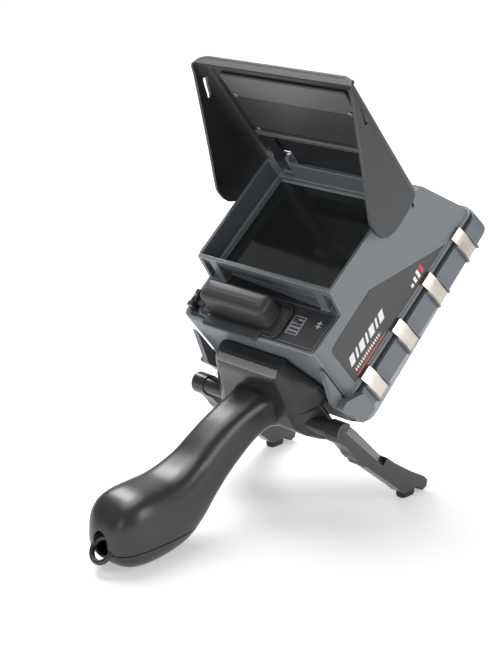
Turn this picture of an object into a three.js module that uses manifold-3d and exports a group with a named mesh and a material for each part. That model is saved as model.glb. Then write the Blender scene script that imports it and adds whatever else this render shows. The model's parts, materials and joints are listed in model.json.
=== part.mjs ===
// Hand-held monitor of a drain inspection camera: a tilted screen housing with a folding
// sunshade, a dock with a pistol handle, and two folding legs. Millimetres, +Z up.
// The housing is drawn square to its screen (x across, y up the screen, z out of it, rim of
// the hood at z = 0) and then tilted; the handle and the legs are drawn standing on the floor.

import * as THREE from 'three';
import { mergeVertices } from 'three/addons/utils/BufferGeometryUtils.js';
import { LoftGeometry } from 'three/addons/geometries/LoftGeometry.js';
import Module from 'manifold-3d';

const wasm = await Module();
wasm.setup();

// ---------------------------------------------------------------- driving dimensions

const GAP = 0.3; // between pieces that touch
const WALL = 3; // moulded casing wall
const RUN = 0.5; // clearance beside something that turns

const tilt = { degrees: 40, y: -21.408, z: 163.646 }; // where the front of the ledge stands

const screen = { width: 117, height: 88, depth: 18.7, lower: 9.7, upper: 6.3, beside: 11.5, fit: 2 };
const hood = {
  width: screen.width + 2 * screen.beside,
  length: screen.lower + screen.height + screen.upper,
  lean: 6,
  corner: 6,
};
const ledge = { drop: 24, length: 41, corner: 8 };
const casing = { depth: 84, shelfDrop: 14, shelf: 14, shelfFall: 4, crown: 44 };
const lip = { proud: 1.5, height: 3 };
const gasket = { thick: 1.9, width: 6 };
const back = { flange: 4, flare: 3, rise: 17.5, rear: 8, fall: 11, corner: 14 };
const bumper = { inset: 5, proud: 7, reach: 11.5, rise: 4.5, nose: 42, front: 75 };
const clip = { width: 12.5, count: 4, fromLedge: 26, fromCrown: 25.9, sheet: 0.9, rib: 1.6 };
const labelled = { front: 15, deck: 10.5, behind: 12, seam: 4.5, thick: 0.5 }; // side label

const shade = { beside: 10.5, skin: 2.5, reach: 109.5, corner: 10, lip: 7 };
const hinge = { y: 2, z: 1, pin: 1.6, knuckle: 4, inset: 16, arm: 12, ear: 3.5 };
const plate = { inset: 6, from: 29, to: 96, thick: 1.7, strip: 24, screwInset: 6, shank: 1.4 };

const pocket = { left: -50, right: 18, low: -32, high: -11, depth: 7, wall: 1.5 };
const cover = { left: 6, right: 12, low: 6, high: 4, dome: 20, skin: 2, lipInset: 5, lipReach: 3.5 };
const coverPin = { beside: 7, lift: 4.1, radius: 1.3, foot: 3.5, low: -30, high: -23, ear: 4 };
const usb = { left: 2, right: 12, low: -25, high: -18, wall: 1 };
const button = { radius: 4, flange: 5.4, travel: 1.5, x: [-40, -25, -10] };
const grille = { x: 38, y: -21, width: 12.4, length: 17.4, slots: 5 };

const board = { inset: 18, low: -18, below: 6, above: 34, thick: 1.6, post: 6 };
const battery = { width: 78, low: 18, below: 12, proud: 16, corner: 6 };
const latch = { width: 18, length: 8, away: 2 };
const socket = { below: 32, z: -38.5, radius: 10, bore: 7, pin: 4.5, proud: 7 };

const pivot = { y: 18.2, z: 80.5, barrel: 6.5, pin: 3 };
const leg = { inset: 4, proud: 9, padFrom: 95, padTo: 111, padHeight: 6.2 };
const loop = { y: -152, z: 18, outer: 11.2, inner: 7.2, thick: 4.5, lean: 34 };

const hoodHalf = hood.width / 2;
const seam = -casing.depth;
const crownY = hood.length + casing.crown;
const shelfY = hood.length + casing.shelf;
const coverFront = seam - GAP - gasket.thick - GAP;
const flangeHalf = hoodHalf + back.flange;
const shadeHalf = hoodHalf + shade.beside;
const plateHalf = hoodHalf - plate.inset;
const hingeX = hoodHalf - hinge.inset;
const boardHalf = hoodHalf - board.inset;
const boardHigh = hood.length - board.below;
const batteryHigh = hood.length - battery.below;
const socketY = hood.length - socket.below;
const legInner = hoodHalf - leg.inset;
const legOuter = hoodHalf + leg.proud;
const hingeY = hood.length + hinge.y;
const shadeTop = hingeY + hinge.knuckle;
const shadeInner = shadeTop - shade.skin;
const firstClip = clip.fromLedge - ledge.length;
const clipPitch = (crownY - clip.fromCrown - firstClip) / (clip.count - 1);
const clipCentres = Array.from({ length: clip.count }, (_, i) => firstClip + i * clipPitch);

// ------------------------------------------------------------------- shape helpers

/** A closed three.js geometry as a solid that can be joined and cut. */
function solid(geometry) {
  const bare = new THREE.BufferGeometry();
  bare.setAttribute('position', geometry.attributes.position);
  bare.setIndex(geometry.index);
  const merged = mergeVertices(bare, 1e-4);
  return new wasm.Manifold(new wasm.Mesh({
    numProp: 3,
    vertProperties: new Float32Array(merged.attributes.position.array),
    triVerts: new Uint32Array(merged.index.array),
  }));
}

const join = (...solids) => solids.reduce((sum, next) => sum.add(next));
const cut = (body, ...tools) => tools.reduce((rest, tool) => rest.subtract(tool), body);

/** Closed outline through corners [u, v, rounding]; rounding is the length cut off each side. */
function outline(corners) {
  const shape = new THREE.Shape();
  const points = corners.map(([u, v]) => new THREE.Vector2(u, v));
  corners.forEach(([u, v, rounding = 0], i) => {
    const before = points[(i + points.length - 1) % points.length];
    const after = points[(i + 1) % points.length];
    const enter = points[i].clone().add(before.clone().sub(points[i]).setLength(rounding || 0));
    const leave = points[i].clone().add(after.clone().sub(points[i]).setLength(rounding || 0));
    if (i === 0) shape.moveTo(enter.x, enter.y);
    else shape.lineTo(enter.x, enter.y);
    if (rounding) shape.quadraticCurveTo(u, v, leave.x, leave.y);
  });
  shape.closePath();
  return shape;
}

const directions = {
  x: new THREE.Matrix4().makeBasis(
    new THREE.Vector3(0, 1, 0), new THREE.Vector3(0, 0, 1), new THREE.Vector3(1, 0, 0)),
  y: new THREE.Matrix4().makeBasis(
    new THREE.Vector3(1, 0, 0), new THREE.Vector3(0, 0, 1), new THREE.Vector3(0, -1, 0)),
  z: new THREE.Matrix4(),
};

/**
 * An outline pushed along an axis from one place to another. Along x the outline is (y, z),
 * along y it is (x, z) and along z it is (x, y). A bevel takes its size off both end edges.
 */
function prism(axis, shape, from, to, { bevel = 0, segments = 4 } = {}) {
  const [low, high] = [Math.min(from, to), Math.max(from, to)];
  const geometry = new THREE.ExtrudeGeometry(Array.isArray(shape) ? outline(shape) : shape, {
    depth: high - low - 2 * bevel,
    bevelEnabled: bevel > 0,
    bevelSize: bevel,
    bevelThickness: bevel,
    bevelOffset: -bevel,
    bevelSegments: 2,
    curveSegments: segments,
  });
  geometry.translate(0, 0, bevel);
  if (axis === 'y') geometry.translate(0, 0, -high);
  else geometry.translate(0, 0, low);
  geometry.applyMatrix4(directions[axis]);
  return solid(geometry);
}

/** Rectangle from corner to corner with all four corners rounded. */
function rectangle(u0, u1, v0, v1, rounding = 0) {
  return [[u0, v0, rounding], [u1, v0, rounding], [u1, v1, rounding], [u0, v1, rounding]];
}

const block = (x0, x1, y0, y1, z0, z1) => prism('z', rectangle(x0, x1, y0, y1), z0, z1);

/** Round bar along an axis; its centre is given in the plane across that axis. */
function rod(axis, radius, from, to, [u, v], sides = 20) {
  const circle = new THREE.Shape();
  circle.absarc(u, v, radius, 0, 2 * Math.PI);
  return prism(axis, circle, from, to, { segments: sides / 2 });
}

/** Skin over rings of points, closed at both ends; the rings are wound to face outwards. */
function loft(rings, matrix = new THREE.Matrix4()) {
  const [first, last] = [rings[0], rings[rings.length - 1]];
  const spoke = (i) => first[i % first.length].clone().sub(first[0]);
  const facing = first.reduce((sum, _, i) => sum.add(spoke(i).cross(spoke(i + 1))), new THREE.Vector3());
  const along = last[0].clone().sub(first[0]);
  const wound = facing.dot(along) > 0 ? rings : rings.map((ring) => [...ring].reverse());
  const geometry = new LoftGeometry(wound, { capStart: true, capEnd: true });
  return solid(geometry.applyMatrix4(matrix));
}

/** A rounded rectangle as a ring of points at height z, which may fall along y. */
function plateRing(half, y0, y1, rounding, z, fall = 0) {
  return outline(rectangle(-half, half, y0, y1, rounding)).getPoints(5).slice(0, -1)
    .map((p) => new THREE.Vector3(p.x, p.y, z - fall * (y1 - p.y) / (y1 - y0)));
}

// ------------------------------------------------------------------- named pieces

const finishes = {
  slate: { color: 0x6f7780, roughness: 0.5, metalness: 0 },
  black: { color: 0x26272a, roughness: 0.45, metalness: 0 },
  charcoal: { color: 0x3a3b3e, roughness: 0.5, metalness: 0 },
  grey: { color: 0x4a4a4c, roughness: 0.6, metalness: 0 },
  rubber: { color: 0x2c2e30, roughness: 0.75, metalness: 0 },
  nickel: { color: 0xc9bfb0, roughness: 0.25, metalness: 1 },
  steel: { color: 0x9a9a9a, roughness: 0.35, metalness: 1 },
  glass: { color: 0x20281f, roughness: 0.08, metalness: 0 },
  board: { color: 0x1f5a36, roughness: 0.6, metalness: 0 },
};

const head = new THREE.Group();
const base = new THREE.Group();

/** Put a solid into a group as a named mesh with its own material. */
function piece(group, name, body, finish) {
  const { vertProperties, triVerts } = body.getMesh();
  const geometry = new THREE.BufferGeometry();
  geometry.setAttribute('position', new THREE.Float32BufferAttribute(vertProperties, 3));
  geometry.setIndex(new THREE.Uint32BufferAttribute(triVerts, 1));
  geometry.computeVertexNormals();
  const mesh = new THREE.Mesh(geometry, new THREE.MeshStandardMaterial(finishes[finish]));
  mesh.name = name;
  group.add(mesh);
}

const sides = [['right', 1], ['left', -1]];

// ------------------------------------------------------------------- front shell

/** The shallow bed of the tray's label; a gap draws it in for the label itself. */
function ledgeRecess(gap) {
  const edge = WALL + gap;
  return rectangle(-hoodHalf + edge, hoodHalf - edge, -ledge.length + edge, -edge, ledge.corner - edge);
}

const labelFront = labelled.front - ledge.length;
const labelDeck = -ledge.drop - labelled.deck;
const sideLabel = [
  [labelFront, seam + labelled.seam], [labelFront - 1, labelDeck - 1.5, 5],
  [labelFront + 54.8, labelDeck], [hood.length - labelled.behind, seam + 14],
  [hood.length + 6, seam + labelled.seam],
];

/** Outline of the opening over the buttons, and of the speaker's grille drawn in by a gap. */
const pocketOutline = rectangle(pocket.left, pocket.right, pocket.low, pocket.high, 3);
const grilleOutline = (gap) => rectangle(
  grille.x - grille.width / 2 + gap, grille.x + grille.width / 2 - gap,
  grille.y - grille.length / 2 + gap, grille.y + grille.length / 2 - gap);
const pocketFloor = -ledge.drop - pocket.depth;

function frontShell() {
  const deckTop = -screen.depth;
  const body = prism('x', [
    [-ledge.length, seam], [-ledge.length, -ledge.drop, 4], [hood.length, -ledge.drop],
    [hood.length, -casing.shelfDrop], [shelfY, -casing.shelfDrop - casing.shelfFall, 3], [crownY, seam],
  ], -hoodHalf, hoodHalf);
  const plan = prism('z', rectangle(-hoodHalf, hoodHalf, -ledge.length, crownY, ledge.corner), seam, 1);
  const hoodBlock = prism('z', rectangle(-hoodHalf, hoodHalf, 0, hood.length, hood.corner),
    -ledge.drop - 1, 0);
  const leanCut = prism('x', [[-1, 0], [0, 0], [hood.lean, -ledge.drop], [-1, -ledge.drop]],
    -hoodHalf - 1, hoodHalf + 1);
  const wedge = [[0.5, -1], [-2.5, -ledge.drop - 1], [hood.lean + 2, -ledge.drop - 1], [2, -1]];
  const wedges = sides.flatMap(([, s]) => [
    prism('x', wedge, s * (hoodHalf - 4), s * hoodHalf),
    prism('x', wedge, s * (hoodHalf - 20), s * (hoodHalf - 12)),
  ]);
  const seamLip = prism('z', rectangle(-hoodHalf - lip.proud, hoodHalf + lip.proud,
    -ledge.length - lip.proud, crownY + lip.proud, ledge.corner), seam, seam + lip.height);

  const recess = prism('x', [[WALL, 1], [hood.lean + 2, deckTop], [hood.length - WALL, deckTop],
    [hood.length - WALL, 1]], -hoodHalf + WALL, hoodHalf - WALL);
  const window = prism('z', screenOutline(0), deckTop - WALL - 1, deckTop + 1);
  const notches = sides.map(([, s]) => block(s * (hingeX - 10), s * (hingeX + 10),
    hood.length - WALL - 0.5, hood.length + 0.5, 2 - screen.depth, 1));
  const inside = prism('x', [
    [-ledge.length + WALL, seam - 1], [-ledge.length + WALL, -ledge.drop - WALL],
    [hood.lean + WALL, -ledge.drop - WALL], [hood.lean + WALL, deckTop - WALL],
    [shelfY - 2 * WALL, deckTop - WALL], [crownY - 1.1 * WALL, seam - 1],
  ], -hoodHalf + WALL, hoodHalf - WALL);

  const pocketBox = prism('z', rectangle(pocket.left - WALL, pocket.right + WALL,
    pocket.low - WALL, pocket.high + WALL, 5), pocketFloor - WALL, -ledge.drop - pocket.wall);
  const pocketHole = prism('z', pocketOutline, pocketFloor, -ledge.drop + 1);
  const through = [pocketFloor - WALL - 4, -ledge.drop];
  const buttonHoles = button.x.map((x) => rod('z', button.radius + GAP, ...through,
    [x, (pocket.low + pocket.high) / 2], 12));
  const usbHole = block(usb.left - GAP, usb.right + GAP, usb.low, usb.high, ...through);
  const labelBed = prism('z', ledgeRecess(0), -ledge.drop - 1, -ledge.drop + 1);
  const grilleHole = prism('z', grilleOutline(0), -ledge.drop - WALL - 1, -ledge.drop);
  const sideBeds = sides.map(([, s]) => prism('x', sideLabel, s * (hoodHalf - 0.8), s * (hoodHalf + 1)));

  const ears = sides.flatMap(([, s]) => [-1, 1].map((t) => {
    const near = s * hingeX + t * (hinge.arm / 2 + RUN);
    return prism('x', [[hood.length - 2, -casing.shelfDrop - 4], [hingeY + 5, -casing.shelfDrop - 4],
      [hingeY + 5, hinge.z + 2, 2], [hingeY, hinge.z + 5, 3], [hood.length - 2, hinge.z + 2, 2]],
    near, near + t * hinge.ear);
  }));
  const pinBore = rod('x', hinge.pin + GAP, -hoodHalf - 1, hoodHalf + 1, [hingeY, hinge.z], 10);
  const socketBore = rod('x', socket.radius - 1, -hoodHalf - 1, -hoodHalf + WALL + 1,
    [socketY, socket.z], 24);

  const outer = join(cut(hoodBlock, leanCut), body.intersect(plan), seamLip, ...wedges);
  const hollow = cut(outer, recess, window, ...notches, inside);
  const fitted = join(hollow, pocketBox, ...ears);
  return cut(fitted, pocketHole, ...buttonHoles, usbHole, labelBed, grilleHole, ...sideBeds,
    pinBore, socketBore);
}

// ------------------------------------------------------------------- screen stack and label

/** Outline of the window under the screen, drawn in by a gap for what stands in it. */
function screenOutline(gap) {
  const half = screen.width / 2 + screen.fit - gap;
  return rectangle(-half, half, screen.lower - 0.7 + gap, screen.lower + screen.height + 0.8 - gap);
}

function displayBezel() {
  const low = -screen.depth + GAP;
  const ring = prism('z', rectangle(-hoodHalf + WALL + GAP, hoodHalf - WALL - GAP,
    hood.lean + 2.3, hood.length - WALL - GAP), low, low + 1.2);
  const opening = block(-screen.width / 2, screen.width / 2, screen.lower,
    screen.lower + screen.height, low - 1, low + 3);
  return cut(ring, opening);
}

function screenSlab(top, thick) {
  return prism('z', screenOutline(GAP), top - thick, top);
}

function controlLabel() {
  const low = -ledge.drop - 1 + GAP;
  const sheet = prism('z', ledgeRecess(GAP), low, -ledge.drop + 0.1);
  const holes = [pocketOutline, grilleOutline(0)].map((shape) => prism('z', shape, low - 1, low + 3));
  return cut(sheet, ...holes);
}

function speakerGrille() {
  const half = grille.width / 2 - GAP;
  const reach = grille.length / 2 - GAP;
  const pitch = 2 * reach / grille.slots;
  const body = prism('z', grilleOutline(GAP), -ledge.drop - WALL, -ledge.drop + 0.4);
  const slots = Array.from({ length: grille.slots }, (_, i) => {
    const y = grille.y - reach + (i + 0.5) * pitch;
    return block(grille.x - half + 1.4, grille.x + half - 1.4, y - 0.7, y + 0.7,
      -ledge.drop - WALL - 1, -ledge.drop + 1);
  });
  return cut(body, ...slots);
}

// ------------------------------------------------------------------- buttons under the cover

function pushButton(x) {
  const centre = [x, (pocket.low + pocket.high) / 2];
  const behind = pocketFloor - WALL;
  const cap = rod('z', button.radius, behind - 1, pocketFloor + 2.5, centre, 12);
  const flange = rod('z', button.flange, behind - 2.3, behind - GAP, centre, 12);
  return join(cap, flange);
}

function usbSocket() {
  const [low, high] = [usb.low + GAP, usb.high - GAP];
  const can = block(usb.left, usb.right, low, high, pocketFloor - WALL - 6, pocketFloor + 1.5);
  const mouth = block(usb.left + usb.wall, usb.right - usb.wall, low + usb.wall, high - usb.wall,
    pocketFloor - 5, pocketFloor + 3);
  return cut(can, mouth);
}

// ------------------------------------------------------------------- port cover

const coverLow = -ledge.drop + 0.1 + GAP;
const lid = {
  left: pocket.left - cover.left,
  right: pocket.right + cover.right,
  low: pocket.low - cover.low,
  high: pocket.high + cover.high,
};
const lidPin = [lid.left - coverPin.beside, coverLow + coverPin.lift];
const anchorEnds = [coverPin.low - coverPin.ear, coverPin.high + coverPin.ear];

/** Ring of the lid's dome, which stands just over the opening. */
function domeRing(inset, z) {
  const [low, high] = [pocket.low + 1 + inset, pocket.high - inset];
  return outline(rectangle(pocket.left + inset, pocket.right + 1 - inset, low, high, 0.3 * (high - low)))
    .getPoints(4).slice(0, -1).map((p) => new THREE.Vector3(p.x, p.y, z));
}

function portCover() {
  const skinTop = coverLow + cover.skin;
  const thicker = skinTop + 1.2;
  const peak = coverLow + cover.dome;
  const flange = prism('z', rectangle(lid.left, lid.right, lid.low, lid.high, 7), coverLow, skinTop);
  const outer = loft([domeRing(0, coverLow + 0.5), domeRing(0.5, peak - 7), domeRing(2, peak - 2),
    domeRing(5, peak)]);
  const inner = loft([domeRing(cover.skin, coverLow - 1), domeRing(cover.skin, peak - 8),
    domeRing(2 + cover.skin, peak - cover.skin)]);
  const fingerLip = prism('z', rectangle(pocket.left + cover.lipInset + 1, pocket.right + 1 - cover.lipInset,
    -ledge.length - cover.lipReach, lid.low + 6, 2), coverLow, thicker);
  const strap = block(lidPin[0], lid.left + 3, coverPin.low, coverPin.high, coverLow + 1.1, thicker);
  const barrel = rod('y', 3, coverPin.low, coverPin.high, lidPin, 12);
  const bore = rod('y', coverPin.radius + GAP, coverPin.low - 1, coverPin.high + 1, lidPin, 10);
  return cut(join(flange, outer, fingerLip, strap, barrel), inner, bore);
}

function coverAnchor() {
  const [x, z] = lidPin;
  const [left, right] = [x - coverPin.foot, x + coverPin.foot];
  const [low, high] = anchorEnds;
  const foot = block(left, right, low, high, coverLow, coverLow + 0.7);
  const side = [[left, coverLow], [right, coverLow], [right, z + 3, 3], [left, z + 3, 3]];
  const ears = [[low, coverPin.low - RUN], [coverPin.high + RUN, high]]
    .map(([from, to]) => prism('y', side, from, to));
  return cut(join(foot, ...ears), rod('y', coverPin.radius + GAP, low - 1, high + 1, lidPin, 10));
}

// ------------------------------------------------------------------- sunshade and its hinges

function sunshade() {
  const foot = hingeY - 66;
  const u = (half, top, rounding) => [
    [-half, foot], [half, foot], [half, top, rounding], [-half, top, rounding]];
  const folded = cut(
    prism('z', u(shadeHalf, shadeTop, shade.corner), -12, shade.reach),
    prism('z', u(shadeHalf - shade.skin, shadeInner, shade.corner - shade.skin), -13, shade.reach + 1));
  const from = ([down, z, rounding]) => [hingeY - down, z, rounding];
  const wingEdge = [[15, 77], [32, 48], [46, 25], [52.5, 10.5, 5], [49, -5, 6], [36, -11, 4],
    [22, -11], [8, -8]];
  const wing = prism('x', [
    [shadeTop + 1, shade.reach], [shadeTop - 9, shade.reach, 2], ...wingEdge.map(from), [shadeTop + 1, -6],
  ], -shadeHalf - 1, shadeHalf + 1);
  const edge = block(-shadeHalf + shade.skin - 1, shadeHalf - shade.skin + 1,
    shadeInner - shade.lip + 0.5, shadeInner + 1, shade.reach - 2.2, shade.reach);
  const arch = prism('z', u(shadeHalf, shadeTop, shade.corner), shade.reach - 3, shade.reach + 1);
  const slotEdge = [[3, 17], [8.5, 33], [11.5, 32], [6, 16]];
  const slots = prism('x', slotEdge.map(([down, back]) => from([down, shade.reach - back])),
    -shadeHalf - 1, shadeHalf + 1);
  const clearances = sides.map(([, s]) => block(s * (hingeX - 12), s * (hingeX + 12),
    shadeInner - 1, shadeTop + 1, -7, hinge.z + 7));
  const screwHoles = plateScrews().map((at) => rod('y', plate.shank, shadeInner - 1, shadeTop - 0.7, at, 8));
  return cut(join(folded.intersect(wing), edge.intersect(arch)), slots, ...clearances, ...screwHoles);
}

function plateScrews() {
  const x = plateHalf - plate.screwInset;
  return [plate.from + 6, plate.to - plate.strip + 2].flatMap((z) => [[x, z], [-x, z]]);
}

function shadePlate() {
  const high = shadeInner - GAP;
  const low = high - plate.thick;
  const sheet = prism('y', rectangle(-plateHalf, plateHalf, plate.from, plate.to, 3), low, high);
  const fold = block(1 - plateHalf, plateHalf - 1, low - 0.4, low + 0.5,
    plate.to - plate.strip, plate.to - 1);
  const holes = plateScrews().map((at) => rod('y', plate.shank, low - 1, high + 1, at, 8));
  return cut(join(sheet, fold), ...holes);
}

function plateScrew([x, z]) {
  const face = shadeInner - GAP - plate.thick - GAP;
  const headLow = z > (plate.from + plate.to) / 2 ? face - 0.4 : face;
  const head = rod('y', 2.3, headLow - 1.3, headLow, [x, z], 12);
  return join(head, rod('y', plate.shank - GAP, headLow - 1, shadeTop - 1, [x, z], 8));
}

function hingeArm(s) {
  const [inner, outer] = [s * (hingeX - hinge.arm / 2), s * (hingeX + hinge.arm / 2)];
  const barrel = rod('x', hinge.knuckle - GAP, inner, outer, [hingeY, hinge.z], 16);
  const strapHigh = shadeInner - GAP;
  const strapLow = strapHigh - 3;
  const strapEnd = plate.from - 3;
  const strap = prism('x', [[strapLow, hinge.z], [strapHigh, hinge.z], [strapHigh, strapEnd],
    [strapLow, strapEnd, 2]], inner, outer);
  const bore = rod('x', hinge.pin + GAP, -hoodHalf, hoodHalf, [hingeY, hinge.z], 10);
  return cut(join(barrel, strap), bore);
}

// ------------------------------------------------------------------- back cover, gasket, clips

function seamGasket() {
  const high = seam - GAP;
  const grow = lip.proud;
  const ring = (inset) => rectangle(-hoodHalf - grow + inset, hoodHalf + grow - inset,
    -ledge.length - grow + inset, crownY + grow - inset, ledge.corner);
  return cut(prism('z', ring(0), high - gasket.thick, high),
    prism('z', ring(gasket.width), high - gasket.thick - 1, high + 1));
}

const flangeLow = -ledge.length - back.flange;
const flangeHigh = crownY + back.flange;
const flangeBack = coverFront - back.rise;

/** Outline of the battery, grown by a gap for the well that holds it. */
function batteryOutline(gap) {
  const half = battery.width / 2 + gap;
  return rectangle(-half, half, battery.low - gap, batteryHigh + gap, battery.corner);
}

const latchLow = batteryHigh + WALL + latch.away;

function backCover() {
  const shell = (inset, extra) => loft([
    plateRing(flangeHalf - inset, flangeLow + inset, flangeHigh - inset, back.corner - inset,
      coverFront + extra),
    plateRing(flangeHalf + back.flare - inset, flangeLow - 2 + inset, flangeHigh + 1 - inset,
      back.corner - inset, flangeBack + inset * 0.5),
    plateRing(flangeHalf - 4 - inset, flangeLow + 6 + inset, flangeHigh - 8 - inset,
      back.corner - inset, flangeBack - back.rear + inset, back.fall * 0.8),
    plateRing(flangeHalf - 14 - inset, flangeLow + 17 + inset, flangeHigh - 20 - inset,
      back.corner - inset, flangeBack - back.rear - 3 + inset, back.fall),
  ]);
  const deepest = flangeBack - back.rear - 3 - back.fall;
  const ribs = sides.flatMap(([, s]) => clipCentres.flatMap((y) => [-1, 1].map((t) => {
    const near = y + t * (clip.width / 2 + GAP);
    return prism('y', [[s * (flangeHalf - 2), coverFront], [s * (flangeHalf + 1.4), coverFront],
      [s * (flangeHalf + 5), coverFront - 9], [s * (flangeHalf + 5.4), flangeBack - 1],
      [s * flangeHalf, flangeBack - 3]], near, near + t * clip.rib);
  })));
  const low = -ledge.length;
  const lowest = low - bumper.reach;
  const under = [[lowest, -bumper.front, 4], [lowest + bumper.rise, coverFront - 2, 4]];
  const bumpers = sides.flatMap(([, s]) => [
    prism('x', [[low - 0.8, -bumper.nose], ...under, [low - 4, flangeBack], [low + 4, flangeBack - 6],
      [low + 8, coverFront], [low - 0.8, coverFront]], s * (hoodHalf - bumper.inset), s * (hoodHalf + 0.2)),
    prism('x', [[low - 4, -bumper.front], ...under, [low - 4, flangeBack - 1, 3],
      [low + 12, flangeBack - 4], [low + 12, coverFront + 0.5]],
    s * (hoodHalf - bumper.inset), s * (hoodHalf + bumper.proud)),
  ]);
  const clearSeam = prism('z', rectangle(-hoodHalf - lip.proud - 0.4, hoodHalf + lip.proud + 0.4,
    low - lip.proud - 0.4, crownY + lip.proud, 1), coverFront, -bumper.front + 1);
  const clearShell = block(-hoodHalf - 0.4, hoodHalf + 0.4, low - 0.4, 0, coverFront, -bumper.nose + 1);
  const well = prism('z', batteryOutline(GAP), deepest - 1, flangeBack);
  const wellWall = prism('z', batteryOutline(WALL), deepest, flangeBack + WALL);
  const latchSlot = block(-latch.width / 2, latch.width / 2, latchLow, latchLow + latch.length,
    deepest - 1, coverFront);
  const posts = boardCorners().map(([x, y]) => rod('z', 3, deepest, seam, [x, y], 6));
  const outer = shell(0, 0);
  const inside = [wellWall, ...posts].map((shape) => shape.intersect(outer));
  const body = join(cut(outer, shell(WALL, 1)), ...ribs, ...bumpers, ...inside);
  return cut(body, clearSeam, clearShell, well, latchSlot);
}

function boardCorners() {
  const x = boardHalf - board.post;
  return [board.low + board.post, boardHigh - board.post].flatMap((y) => [[x, y], [-x, y]]);
}

function seamClip(s, y) {
  const at = (x, z) => [s * x, z];
  const ledgeX = hoodHalf + lip.proud;
  const slope = back.flare / back.rise;
  const rear = flangeHalf + slope * (coverFront - flangeBack) + GAP;
  return prism('y', [
    at(hoodHalf + 0.4, seam + lip.height + 0.4), at(hoodHalf + 0.4, seam + lip.height + 1.4),
    at(ledgeX + 0.6, seam + lip.height + 1.4), at(ledgeX + 1.6, seam + 2),
    at(flangeHalf + GAP + clip.sheet, coverFront), at(rear + clip.sheet, flangeBack),
    at(rear, flangeBack), at(flangeHalf + GAP + 0.05, coverFront), at(ledgeX + 0.5, seam + 1.6),
    at(ledgeX + 0.5, seam + lip.height + 0.4),
  ], y - clip.width / 2, y + clip.width / 2);
}

// ------------------------------------------------------------------- inside and behind

function mainBoard() {
  const low = seam + board.above;
  return block(-boardHalf, boardHalf, board.low, boardHigh, low, low + board.thick);
}

function batteryPack() {
  const front = flangeBack - GAP;
  const behind = front - battery.proud;
  const body = prism('z', batteryOutline(0), behind, front, { bevel: 2 });
  const grip = sides.map(([, s]) => block(s * (battery.width / 2 - 2), s * (battery.width / 2 + 1),
    battery.low + 20, batteryHigh - 20, behind - 1, behind + 7));
  return cut(body, ...grip);
}

function batteryLatch() {
  const half = latch.width / 2 - GAP;
  return prism('z', rectangle(-half, half, latchLow + GAP, latchLow + latch.length - GAP, 1.5),
    flangeBack - 14, flangeBack + 4);
}

function cameraSocket() {
  const centre = [socketY, socket.z];
  const end = -hoodHalf - socket.proud;
  const collar = rod('x', socket.radius, end, -hoodHalf - GAP, centre, 28);
  const neck = rod('x', socket.radius - 1 - GAP, -hoodHalf - 1, -hoodHalf + 12, centre, 28);
  const bore = rod('x', socket.bore, end - 1, -hoodHalf + 8, centre, 24);
  const insert = rod('x', socket.pin, end + 2, -hoodHalf + 10, centre, 16);
  return join(cut(join(collar, neck), bore), insert);
}

// ------------------------------------------------------------------- dock, handle, legs

const turn = THREE.MathUtils.degToRad(tilt.degrees);
const headMatrix = new THREE.Matrix4().makeRotationX(turn).setPosition(0,
  tilt.y + ledge.length * Math.cos(turn), tilt.z + ledge.length * Math.sin(turn));

/** Stations of the dock: z, half width above and below, and how far below the ledge it starts and ends. */
const dockStations = [
  [-41.5, 35, 33, 0.5, 3], [-43.5, 37, 35, 0.5, 9], [-47.5, 38, 36, 0.5, 13.5],
  [-53, 44, 36.5, 0.5, 17], [-59, 53, 37, 0.5, 20.5], [-65, 60, 38, 0.5, 24],
  [-77.5, 61, 39, 0.5, 30], [-78, 61, 39, 10.5, 30.3], [-88, 61.5, 43, 10.5, 34.5],
  [-97, 62, 49, 11.5, 32.5], [-107, 61, 54, 13, 27], [-112, 58, 54, 16, 23],
];

function dockRing([z, top, bottom, start, end]) {
  const [low, high] = [-ledge.length - end, -ledge.length - start];
  const rounding = Math.min(6, (high - low) * 0.35);
  return outline([[-bottom, low, rounding], [bottom, low, rounding], [top, high, rounding * 0.4],
    [-top, high, rounding * 0.4]]).getPoints(4).slice(0, -1).map((p) => new THREE.Vector3(p.x, p.y, z));
}

/** Stations of the handle: the top and bottom of each section, as (y, z), and its half width. */
const handleStations = [
  [2, 101.5, 9.5, 70.2, 18.8], [-6, 98.5, 4, 68, 18.5], [-22, 92.5, -8, 63.5, 18], [-38, 86, -22, 54, 18],
  [-54, 77, -36, 43.5, 18], [-69, 67, -52, 30, 19.5], [-84, 60.5, -66, 17, 22.5],
  [-96, 57.7, -84, 5, 24.5], [-110, 57, -106, 0.8, 25.3], [-126, 56.5, -126, 0, 25.3],
  [-138, 54, -140, 2.5, 24], [-146.5, 48, -149, 8.5, 20], [-151.5, 39, -153, 17, 13],
];

/** Ring of a squarish oval section; inset draws it in for the inside of the wall. */
function gripRing([y1, z1, y0, z0, half], inset) {
  const points = 24;
  const middle = new THREE.Vector3(0, (y0 + y1) / 2, (z0 + z1) / 2);
  const up = new THREE.Vector3(0, y1 - y0, z1 - z0);
  const reach = up.length() / 2 - inset;
  up.normalize();
  return Array.from({ length: points }, (_, i) => {
    const turn = 2 * Math.PI * i / points;
    const bulge = (value) => Math.sign(value) * Math.abs(value) ** 0.72;
    return middle.clone()
      .add(new THREE.Vector3((half - inset) * bulge(Math.cos(turn)), 0, 0))
      .addScaledVector(up, reach * bulge(Math.sin(turn)));
  });
}

const gripBody = loft(handleStations.map((s) => gripRing(s, 0)));
const gripInside = loft(handleStations.slice(0, -1).map((s) => gripRing(s, WALL)));

/** The space below the seam of the handle's bulb, raised by a gap. */
function splitBelow(gap) {
  return prism('x', [[-200, -5], [-62, -5], [-72, 11 + gap, 8], [-90, 17 + gap], [-200, 17 + gap]], -40, 40);
}

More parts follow.
